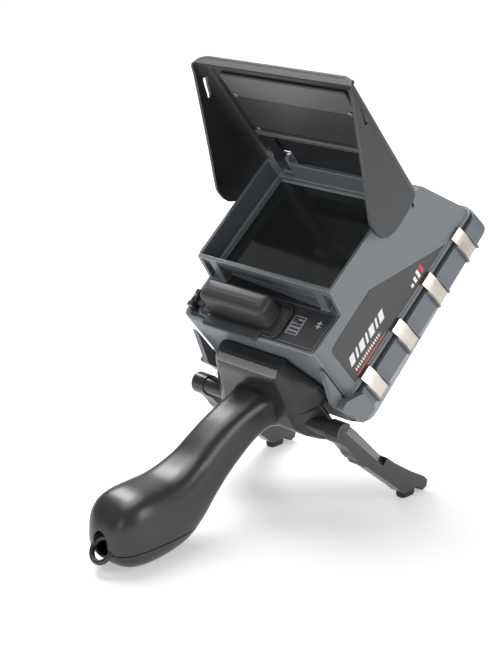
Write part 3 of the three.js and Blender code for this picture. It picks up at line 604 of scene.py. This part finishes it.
def stacked(x_range, y_range, corner, profile, points=64):
    """Rings of a pad between x and y limits; profile pairs are (drawn in, height), all in mm."""
    half_x, half_y = (x_range[1] - x_range[0]) / 2, (y_range[1] - y_range[0]) / 2
    middle = np.array([sum(x_range) / 2, sum(y_range) / 2])
    rings = [np.column_stack([rectangle_ring(half_x, half_y, corner, inset, points) + middle,
                              np.full(points, height)]) for inset, height in profile]
    return np.array(rings)


def quarter(inset, height, radius, steps=6, turn=1):
    """Profile pairs round a quarter circle that ends level, radius inwards and upwards."""
    angle = np.linspace(0, np.pi / 2, steps)
    return [(inset + radius * (1 - math.cos(a)), height - turn * radius * (1 - math.sin(a))) for a in angle]


print("surface helpers ready")

# %% [markdown]
# ### Legs
#
# Each leg is a moulded bar with notches under its hub, and a broad facet along its upper
# outer edge that ends in a scoop at the knee. The bar is the CAD part. The facet is carved
# the way a milling cutter would: a three-sided bar is laid along the edge and taken away.

# %% Legs
FACET = 8.5
FACET_START, FACET_END = (27, 86.3), (72, 45.0)


def prism_mesh(name, section, along, frame_of=from_floor):
    """A bar: a section of (x, along, up) points at its start, repeated moved by a vector, in mm."""
    start = np.asarray(section, float)
    rings = np.array([start, start + along])
    return grid_mesh(name, frame_of(rings))


def facet_cutter(side):
    """A three-sided bar along the leg's upper outer edge, in the leg's own plane."""
    outer = side * (leg_outer + 1)
    start, end = np.array(FACET_START, float), np.array(FACET_END, float)
    along = (end - start) / np.linalg.norm(end - start)
    normal = np.array([-along[1], along[0]])
    section = [(outer, *(start + normal * 6)), (outer - side * (FACET + 7), *(start + normal * 6)),
               (outer, *(start - normal * (FACET + 1)))]
    return prism_mesh("facet_cutter", section, (0, *(end - start)))


leg_outer = np.array(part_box("leg_right")[1])[0] / MM
for side, sign in (("right", 1), ("left", -1)):
    # The bevel faces of the legs take the paler charcoal finish: a painted highlight along each edge.
    refined(f"leg_{side}", 0.8, 3, "charcoal_painted_highlight", clamp=True, cutters=[facet_cutter(sign)])
print("legs carved")

# %% [markdown]
# ### Port cover
#
# A rubber lid hinges over the buttons and the socket in the tray. It has a flat skirt with
# a groove, a tall hollow dome with a wide soft shoulder, and a thicker finger lip that
# hangs over the front of the tray. The skirt and the dome are ring stacks.

# %% Port cover
lid_low, lid_high = screen_box("port_cover")
skirt = lid_low[2]
peak = lid_high[2]
DOME_X, DOME_Y = (-50, 19), (-31, -11)
SKIRT_X, SKIRT_Y = (-56, 30), (-38, -7)

skirt_profile = [(0.4, skirt), (0, skirt + 0.4), (0, skirt + 1.5), (0.4, skirt + 2), (1.3, skirt + 2),
                 (1.6, skirt + 1.5), (2.2, skirt + 1.5), (2.5, skirt + 2), (5, skirt + 2.05)]
skirt_mesh = grid_mesh("port_cover_skirt", from_screen(stacked(SKIRT_X, SKIRT_Y, 7, skirt_profile, 96)))
show("port_cover_skirt", skirt_mesh, "cover_rubber", "port_cover", "port_cover")

wall = [(-0.9, skirt + 1.9), (-0.35, skirt + 2.3), (0, skirt + 3.2), (0.5, peak - 6)]
shoulder = [(inset + 0.5, height) for inset, height in quarter(0, peak - 0.4, 5.6, 9)]
crown = [(7.3, peak - 0.1), (8.6, peak)]
dome = stacked(DOME_X, DOME_Y, 5.5, wall + shoulder + crown, 128)
show("port_cover_dome", grid_mesh("port_cover_dome", from_screen(dome)), "cover_rubber", "port_cover")

lip_profile = [(0.5, skirt), (0, skirt + 0.5), (0, skirt + 2.4), (0.8, skirt + 3.2), (3, skirt + 3.2)]
finger_lip = stacked((-44, 14), (lid_low[1], SKIRT_Y[0] + 4), 2.5, lip_profile, 64)
show("port_cover_lip", grid_mesh("port_cover_lip", from_screen(finger_lip)), "cover_rubber", "port_cover")


def barrel(name, radius, start, end, slot, body, sides=40, ease=0.4):
    """A round bar between two points in mm, in the room: rings of radius (cos, sin), eased at both ends."""
    start, end = np.asarray(start, float), np.asarray(end, float)
    along = (end - start) / np.linalg.norm(end - start)
    side = np.cross(along, out_of_screen if abs(along @ out_of_screen) < 0.9 else across)
    side /= np.linalg.norm(side)
    other = np.cross(along, side)
    angle = np.arange(sides) * 2 * np.pi / sides
    circle = np.outer(np.cos(angle), side) + np.outer(np.sin(angle), other)
    length = np.linalg.norm(end - start)
    steps = [(0, radius - ease), (ease, radius), (length - ease, radius), (length, radius - ease)]
    rings = np.array([start + along * place + circle * size for place, size in steps])
    return show(name, grid_mesh(name, rings * MM), slot, body)


knuckle_ends = from_screen([(-63, -30, -19.5), (-63, -23, -19.5)]) / MM
barrel("port_cover_knuckle", 2.9, *knuckle_ends, "cover_rubber", "port_cover")
strap_profile = [(0.3, skirt + 1.1), (0, skirt + 1.4), (0, skirt + 2.7), (0.4, skirt + 3.1)]
strap = stacked((-63, -53), (-30, -23), 0.8, strap_profile, 32)
show("port_cover_strap", grid_mesh("port_cover_strap", from_screen(strap)), "cover_rubber", "port_cover")
print("port cover made")

# %% [markdown]
# ### Handle
#
# The handle is a squarish oval tube that drops from the dock, bends, and swells into a
# bulb that stands on the floor. It is given by a few stations: the top and the bottom of
# the section, and its half width. Joining stations with straight runs and then averaging
# along the handle turns every change into a smooth sweep, with no overshoot. The lower
# half of the bulb is a separate moulding, and the gap between the two is a real gap: the
# grid is cut along the seam, so its rows follow it. An arched recess is carved in the tip.

# %% Handle surface
# Each station: top (along, up), bottom (along, up), half width.
HANDLE = np.array([
    [14, 114, 26, 64, 27], [8, 108, 18, 66.5, 24], [2, 102.5, 9.5, 69.5, 20], [-6, 98.5, 4, 68, 18.5],
    [-22, 92.5, -8, 63.5, 18], [-38, 86, -22, 54, 18], [-54, 77, -36, 43.5, 18],
    [-69, 67, -52, 30, 19.5], [-84, 60.5, -66, 17, 22.5],
    [-96, 57.7, -84, 5, 24.5], [-110, 57, -106, 0.8, 25.3], [-126, 56.5, -126, 0.1, 25.3],
    [-138, 54, -140, 2.5, 24], [-146.5, 48, -149, 8.5, 20], [-151.5, 39, -153, 17, 13],
    [-153.2, 31, -153.6, 25, 5]])
SECTION = 0.62
SEAM_UP = 17
SEAM_HALF_GAP = 0.35


def swept(stations, steps, width, ends=2):
    """Stations resampled on straight runs, then averaged along the run with a bell of this width."""
    reach = np.r_[0, np.cumsum(np.linalg.norm(np.diff(stations[:, :4], axis=0), axis=1) + 1e-6)]
    places = np.linspace(0, reach[-1], steps)
    rows = np.array([np.interp(places, reach, column) for column in stations.T]).T
    offsets = np.arange(-3 * width, 3 * width + 1)
    bell = np.exp(-0.5 * (offsets / width) ** 2)
    bell /= bell.sum()
    padded = np.pad(rows, ((3 * width, 3 * width), (0, 0)), mode="reflect", reflect_type="odd")
    smooth = np.array([np.convolve(column, bell, mode="valid") for column in padded.T]).T
    smooth[:ends], smooth[-ends:] = rows[:ends], rows[-ends:]
    return smooth


def handle_points(rows, angle, inset=0.0):
    """Middle + half width * bulge(cos) + half height * bulge(sin); bulge(v) = sign(v) |v|^SECTION."""
    top, bottom, half = rows[:, 0:2], rows[:, 2:4], rows[:, 4]
    middle, reach = (top + bottom) / 2, (top - bottom) / 2
    wide = np.sign(np.cos(angle)) * np.abs(np.cos(angle)) ** SECTION
    tall = np.sign(np.sin(angle)) * np.abs(np.sin(angle)) ** SECTION
    height = np.linalg.norm(reach, axis=1)
    keep_wide = ((half - inset) / half)[:, None]
    keep_tall = ((height - inset) / height)[:, None]
    x = wide * half[:, None] * keep_wide
    y = middle[:, :1] + reach[:, :1] * tall * keep_tall
    z = middle[:, 1:] + reach[:, 1:] * tall * keep_tall
    return np.stack([x, y, z], -1)


handle_rows = swept(HANDLE, 280, 7)
full_turn = np.linspace(-np.pi, np.pi, 721)
outline_points = handle_points(handle_rows, full_turn[None, :])
print("handle is", np.ptp(outline_points[..., 1]).round(1), "mm long")

# %% [markdown]
# The seam is where the handle crosses a level line near the floor. For each section, the
# angle at which the right-hand side crosses that level is looked up in the points just
# computed. In front of the seam the lower shell closes to nothing, and the upper one wraps
# all round. Each shell then gets its wall from a Solidify modifier.

# %% Handle shells
SEAM_START = -74
HANDLE_WALL = 2.2


def seam_angle(rows, level):
    """The angle, from below (-90 degrees) round to the right, at which each section reaches a level."""
    angles = np.linspace(-np.pi / 2, np.pi / 2, 361)
    heights = handle_points(rows, angles[None, :])[..., 2]
    found = np.array([np.interp(level, line, angles) for line in heights])
    return found


def sheet_mesh(name, points, merge=0.0):
    """An open sheet over a grid of points (rows, columns, 3) in metres."""
    rows, columns = points.shape[:2]
    row, column = np.meshgrid(np.arange(rows - 1), np.arange(columns - 1), indexing="ij")
    corner = row * columns + column
    faces = np.stack([corner, corner + 1, corner + columns + 1, corner + columns], -1).reshape(-1, 4)
    mesh = bpy.data.meshes.new(name)
    mesh.from_pydata(points.reshape(-1, 3).tolist(), [], faces.tolist())
    work = bmesh.new()
    work.from_mesh(mesh)
    if merge:
        bmesh.ops.remove_doubles(work, verts=work.verts, dist=merge)
    bmesh.ops.recalc_face_normals(work, faces=work.faces)
    for face in work.faces:
        face.smooth = True
    work.to_mesh(mesh)
    work.free()
    return mesh


def half_shell(name, above, columns=112):
    """The part of the handle above or below the seam, as an open grid that follows it."""
    ramp = np.clip((SEAM_START - handle_rows[:, 0]) / 22, 0, 1)
    gap = SEAM_HALF_GAP if above else -SEAM_HALF_GAP
    angle = seam_angle(handle_rows, SEAM_UP + gap)
    angle = -np.pi / 2 + (angle + np.pi / 2) * np.sqrt(ramp * (2 - ramp))
    rows = handle_rows if above else handle_rows[ramp > 0]
    angle = angle if above else angle[ramp > 0]
    share = np.linspace(0, 1, columns)[None, :]
    low, high = (angle, np.pi - angle) if above else (-np.pi - angle, angle)
    points = handle_points(rows, low[:, None] + (high - low)[:, None] * share)
    return sheet_mesh(name, from_floor(points), MERGE)


def walled(mesh, thickness):
    """The sheet with a wall grown inwards by Solidify, kept as a new mesh."""
    holder = bpy.data.objects.new("holder", mesh)
    bpy.context.scene.collection.objects.link(holder)
    wall = holder.modifiers.new("wall", "SOLIDIFY")
    wall.thickness, wall.offset = thickness * MM, -1
    wall.use_even_offset = False
    bpy.context.view_layer.update()
    solid = bpy.data.meshes.new_from_object(holder.evaluated_get(bpy.context.evaluated_depsgraph_get()))
    solid.name = mesh.name
    bpy.data.objects.remove(holder)
    return solid


def arch_cutter():
    """The recess in the tip: an arch on two straight sides, pushed in along the handle."""
    half, low, top, depth = 7.6, 5.0, 33.0, 9.0
    start, tip, rise = -170, -153.5, half * 1.3
    turn = np.linspace(0, np.pi, 25)
    section = [(-half, start, low), (half, start, low)]
    section += [(half * math.cos(a), start, top - rise + rise * math.sin(a)) for a in turn]
    return prism_mesh("arch_cutter", section, (0, tip - start + depth, 0))


for name, above, node in (("handle_upper_fine", True, "handle_upper_shell"),
                          ("handle_lower_fine", False, "handle_lower_shell")):
    solid = walled(half_shell(name, above), HANDLE_WALL)
    made = show(name, carved(solid, [arch_cutter()]), "charcoal_plastic", "housing", node)
    rounded(made, 0.35, 2, 50)
    print(name, len(made.data.polygons), "faces")

# %% [markdown]
# ### Lanyard loop
#
# A small ring at the tip takes a wrist cord. It is a ring swept round a circle: the small
# circle of the section is squashed along the ring's axis, and the ring leans back.

# %% Lanyard loop
loop_low, loop_high = (np.array(corner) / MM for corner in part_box("lanyard_loop"))
loop_middle = (loop_low + loop_high) / 2 - floor_origin
LOOP_MIDDLE, LOOP_SECTION, LOOP_LEAN = 9.2, (2.0, 2.2), 34


def ring_mesh(name, middle, section, place, lean, steps=64, sides=24):
    """(middle + a cos v) cos u, (middle + a cos v) sin u, b sin v; tilted about x, then moved."""
    u = (np.arange(steps) * 2 * np.pi / steps)[:, None]
    v = (np.arange(sides) * 2 * np.pi / sides)[None, :]
    reach = middle + section[0] * np.cos(v)
    points = np.stack([reach * np.cos(u), reach * np.sin(u), section[1] * np.sin(v) + 0 * u], -1)
    tip = math.radians(90 - lean)
    y = points[..., 1] * math.cos(tip) - points[..., 2] * math.sin(tip)
    z = points[..., 1] * math.sin(tip) + points[..., 2] * math.cos(tip)
    rings = np.stack([points[..., 0], y + place[0], z + place[1]], -1)
    return grid_mesh(name, from_floor(np.concatenate([rings, rings[:1]])), close_ends=False)


loop_mesh = ring_mesh("lanyard_ring", LOOP_MIDDLE, LOOP_SECTION, loop_middle[1:], LOOP_LEAN)
show("lanyard_ring", loop_mesh, "charcoal_plastic", "housing", "lanyard_loop")
print("lanyard ring made")

# %% [markdown]
# ### Dock
#
# The dock carries the tilted housing. Seen from the front it is a trapezium that widens
# towards the back, where it turns into two cheeks beside the legs. It is swept from
# stations too, now in the screen frame and with a rounded trapezium as its section. The
# faces along its shoulder get the paler edge finish: that is a painted highlight, chosen
# for the look, and not a second material on the part.

# %% Dock
# Each station: depth, half width at the top, half width below, top, bottom.
DOCK = np.array([
    [-41.5, 35, 33, -41.5, -50], [-42, 36, 34, -41.5, -55.5], [-44.5, 37.5, 35.5, -41.5, -59.5],
    [-49, 41, 36.5, -41.5, -61.6], [-56, 49, 37, -41.5, -63.2], [-65, 58, 38, -41.5, -65.8],
    [-77.5, 61, 39, -41.5, -71], [-78, 61, 39, -51.5, -71.3], [-88, 61.5, 43, -51.5, -75.5],
    [-97, 62, 49, -52.5, -73.5], [-107, 61, 54, -54, -68], [-112, 58, 54, -57, -64]])
SHOULDER = (-44.6, -42)
SHOULDER_HALF, SHOULDER_BELOW = 31.5, -52


def to_screen(mesh):
    """A mesh's corners in screen millimetres: (corner - origin) . axes."""
    flat = np.empty(len(mesh.vertices) * 3, np.float32)
    mesh.vertices.foreach_get("co", flat)
    return (flat.reshape(-1, 3) / MM - screen_origin) @ screen_axes.T


def trapezium_rings(rows, corner, points=96):
    """Rounded trapezium: a rounded rectangle whose half width runs from the lower to the upper value."""
    rings = []
    for depth, top, bottom, high, low in rows:
        half_high = (high - low) / 2
        radius = min(corner, half_high * 0.95)
        flat = rectangle_ring(max(top, bottom), half_high, radius, 0, points)
        share = np.clip((flat[:, 1] + half_high) / (2 * half_high), 0, 1)
        width = bottom + (top - bottom) * share
        rings.append(np.column_stack([flat[:, 0] * width / max(top, bottom),
                                      flat[:, 1] + (high + low) / 2, np.full(points, depth)]))
    return np.array(rings)


dock_rows = swept(DOCK, 170, 3, ends=1)
dock_mesh = grid_mesh("dock_hood_fine", from_screen(trapezium_rings(dock_rows, 9)))
dock = show("dock_hood_fine", dock_mesh, "charcoal_plastic", "housing", "dock_hood", edge="charcoal_painted_highlight")
dock_corners = to_screen(dock_mesh)
# Faces on the shoulder band take the paler charcoal finish: a painted highlight.
for face in dock.data.polygons:
    place = dock_corners[list(face.vertices)].mean(0)
    on_band = SHOULDER[0] < place[2] < SHOULDER[1] and abs(place[0]) < SHOULDER_HALF
    if on_band and place[1] < SHOULDER_BELOW:
        face.material_index = 1
rounded(dock, 2.0, 4, 40)
print("dock faces:", len(dock.data.polygons))

# %% [markdown]
# ### Small round and flat pieces
#
# The feet, the screen's glass and the sunshade's inner plate are ring stacks; the tray film
# and the screws are rounded copies of their CAD parts. Each takes its limits from its own
# CAD node, so it fits by construction.

# %% Tray film, screen and foot pads
def pad_from(node, name, corner, profile, slot=None, points=64, grow=0.0):
    """A ring stack with the limits of a CAD node; profile heights are measured down from its top."""
    low, high = screen_box(node)
    rings = stacked((low[0] - grow, high[0] + grow), (low[1] - grow, high[1] + grow), corner,
                    [(inset, high[2] + height) for inset, height in profile], points)
    mesh = grid_mesh(name, from_screen(rings))
    return show(name, mesh, slot or slot_of_node[node], body_of_node[node], node)


refined("control_label", 0.12, 2)
pad_from("display_window", "display_glass", 1, [(0, -1.8), (0, -0.3), (0.3, 0)])

for side in ("right", "left"):
    pad_low, pad_high = (np.array(corner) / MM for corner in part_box(f"foot_pad_{side}"))
    height = pad_high[2] - pad_low[2]
    foot = [(1.6, 0), (0.5, 0.5), (0, 1.8), (0, height - 0.8), (0.6, height)]
    rings = stacked((pad_low[0], pad_high[0]), (pad_low[1], pad_high[1]), 4, foot, 64) + [0, 0, pad_low[2]]
    show(f"foot_pad_{side}_fine", grid_mesh(f"foot_pad_{side}_fine", rings * MM), "soft_rubber",
         f"leg_{side}", f"foot_pad_{side}")
print("flat pieces made")

# %% [markdown]
# ### Screen surround and hinge webs
#
# The screen sits in a stepped frame, a shade paler than the housing. A frame is a ring
# stack whose last ring is its first one again, so it closes on itself with a hole in the
# middle. The web behind each hinge arm is an addition: it closes a gap between the ears that
# would otherwise let light through.

# %% Screen surround
glass_low, glass_high = screen_box("display_window")
frame_x, frame_y = (glass_low[0] - 5, glass_high[0] + 5), (glass_low[1] - 1.8, glass_high[1] + 3.2)
step_low = glass_high[2]
for name, grow, height, width in (("screen_step_outer", 0, 2.0, 2.6), ("screen_step_inner", 2.4, 1.1, 3.4)):
    loop = [(grow, 0), (grow, height - 0.4), (grow + 0.4, height), (grow + width - 0.6, height),
            (grow + width, height - 0.5), (grow + width, 0), (grow, 0)]
    rings = stacked(frame_x, frame_y, 2.5 + grow * 0.2, [(inset, step_low + up) for inset, up in loop], 96)
    show(name, grid_mesh(name, from_screen(rings), close_ends=False), "grille_plastic", "housing")

for side in ("right", "left"):
    arm_low, arm_high = screen_box(f"hinge_arm_{side}")
    web = stacked((arm_low[0] - 0.9, arm_high[0] + 0.9), (HINGE_UP + 4.2, HINGE_UP + 5), 0.2,
                  [(0, -17.5), (0, 2.4), (0.2, 2.7)], 32)
    show(f"hinge_web_{side}", grid_mesh(f"hinge_web_{side}", from_screen(web)), "slate_plastic", "housing")
print("screen surround made")

# %% [markdown]
# ### Sunshade
#
# The shade is one folded sheet: a wing, a rounded corner, the top, a corner and a wing. Its
# section runs across the screen, and at each place on the section the sheet starts at a
# back edge and ends at a front edge. On a wing both edges follow the curved outline, so
# the grid itself has the wing's shape. Solidify gives it its wall and Bevel its bead.

# %% Sunshade sheet
shade_low, shade_high = screen_box("sunshade")
CORNER, SKIN = 13, 2.5
# The wing's outline from its tip upwards: (how far below the hinge, out of the screen).
FRONT_EDGE = np.array([[52.5, 12.4], [51.8, 15.5], [50, 19.4], [46.5, 26.5], [32, 55], [15, 90],
                       [9, 102.5], [7.6, 106], [6.8, 109.5]])
BACK_EDGE = np.array([[52.5, 7.6], [52, 3], [50, -2.5], [45, -8], [37, -10.6], [28, -11.2],
                      [15, -9.5], [-4, -6]])


def shade_section():
    """Places (x, y) round the section: up a wing, round a quarter circle, across, and down again."""
    half, top = shade_high[0], shade_high[1]
    tip = HINGE_UP - FRONT_EDGE[0, 0]
    share = 1 - np.cos(np.linspace(0, np.pi / 2, 70))
    up = tip + 0.02 + (top - CORNER - tip) * share
    arc = np.linspace(0, np.pi / 2, 12)
    left = np.column_stack([np.full(up.size, -half), up])
    corner = np.column_stack([-half + CORNER * (1 - np.cos(arc)), top - CORNER * (1 - np.sin(arc))])
    across_top = np.array([[x, top] for x in np.linspace(-half + CORNER, 0, 60)])
    first = np.concatenate([left, corner[1:], across_top[1:]])
    return np.concatenate([first, first[-2::-1] * [-1, 1]])


section = shade_section()
below_hinge = HINGE_UP - section[:, 1]
front = np.interp(-below_hinge, -FRONT_EDGE[:, 0], FRONT_EDGE[:, 1])
back = np.interp(-below_hinge, -BACK_EDGE[:, 0], BACK_EDGE[:, 1])
share = np.linspace(0, 1, 60)[:, None]
depth = back + (front - back) * share
sheet_points = np.stack([np.broadcast_to(section[:, 0], depth.shape),
                         np.broadcast_to(section[:, 1], depth.shape), depth], -1)
shade_mesh = sheet_mesh("sunshade_fine", from_screen(sheet_points))
top_normal = max(shade_mesh.polygons, key=lambda face: face.center.z).normal
if top_normal.dot(Vector(up_screen)) < 0:
    shade_mesh.flip_normals()
walled_sheet = walled(shade_mesh, SKIN)
print("sheet faces:", len(walled_sheet.polygons))

# %% [markdown]
# The latch slots in the wings and the openings round the hinge ears are cut with plain
# bars, and only then is the rim rounded into a bead. A lip hangs from the front edge.

# %% Sunshade openings and lip
SLOT = [(3, -17), (8.5, -33), (11.5, -32), (6, -16)]
slot_section = [(shade_low[0] - 2, HINGE_UP - down, shade_high[2] + out) for down, out in SLOT]
tools = [prism_mesh("slot", slot_section, (2 * shade_high[0] + 4, 0, 0), from_screen)]
for side in ("right", "left"):
    arm_low, arm_high = screen_box(f"hinge_arm_{side}")
    low_x, high_x = arm_low[0] - 6, arm_high[0] + 6
    low_y, high_y = HINGE_UP - 4, HINGE_UP + 9
    notch = [(low_x, low_y, -20), (high_x, low_y, -20), (high_x, high_y, -20), (low_x, high_y, -20)]
    tools.append(prism_mesh("notch", notch, (0, 0, 28), from_screen))
shade = show("sunshade_fine", carved(walled_sheet, tools), "black_plastic", "sunshade", "sunshade",
             edge="black_painted_highlight")
# The rim's bevel faces take the paler black finish: painted highlights along the bead.
rounded(shade, 0.45, 3, 50, True)

inner_top = shade_high[1] - SKIN
lip_profile = [(0.6, -2.6), (0, -2), (0, -0.9), (0.8, -0.1)]
lip_x = (shade_low[0] + SKIN - 0.5, shade_high[0] - SKIN + 0.5)
lip_rings = stacked(lip_x, (inner_top - 6.5, inner_top + 0.6), 3,
                    [(inset, shade_high[2] + up) for inset, up in lip_profile], 64)
show("sunshade_lip", grid_mesh("sunshade_lip", from_screen(lip_rings)), "dark_module", "sunshade")
print("sunshade made")

# %% [markdown]
# ### Inner plate of the sunshade
#
# The plate screwed inside the shade has a matt field, a brighter raised strip along its
# free edge, and a narrow bar along its hinge edge. All three are ring stacks.

# %% Sunshade plate and screws
plate_low, plate_high = screen_box("sunshade_plate")


def wall_pad(name, x_range, z_range, y_top, thickness, corner, edge, slot, node=None):
    """A plate that faces down the screen: a ring stack in (x, z), with its height along -y."""
    profile = [(0, 0), (0, thickness - edge), (edge * 0.3, thickness - edge * 0.3), (edge, thickness)]
    flat = stacked(x_range, z_range, corner, profile, 64)
    turned = np.stack([flat[..., 0], y_top - flat[..., 2], flat[..., 1]], -1)
    piece = show(name, grid_mesh(name, from_screen(turned)), slot, "sunshade", *([node] if node else []))
    return piece


plate_x = (plate_low[0], plate_high[0])
wall_pad("sunshade_plate_field", plate_x, (plate_low[2], plate_high[2]), plate_high[1], 1.7, 3, 0.4,
         "plate_grey", "sunshade_plate")
wall_pad("sunshade_plate_strip", (plate_x[0] + 1, plate_x[1] - 1), (plate_high[2] - 24, plate_high[2] - 1),
         plate_high[1] - 1.5, 0.7, 2, 0.25, "plate_face")
wall_pad("sunshade_plate_edge", (plate_x[0] + 2, plate_x[1] - 2), (plate_low[2] + 0.6, plate_low[2] + 5.6),
         plate_high[1] - 1.2, 3.4, 1.2, 1.0, "plate_face")

for number in range(1, 5):
    refined(f"plate_screw_{number}", 0.35, 2)
print("sunshade plate and screws made")

# %% [markdown]
# ## The rest of the frame
#
# Parts that are already right, such as pins, the board and the buttons, stay as they are
# and only get their finish.

# %% Finishes for the CAD parts that stay
for node, piece in frame["nodes"].items():
    piece.data.materials.clear()
    piece.data.materials.append(finishes[slot_of_node[node]])
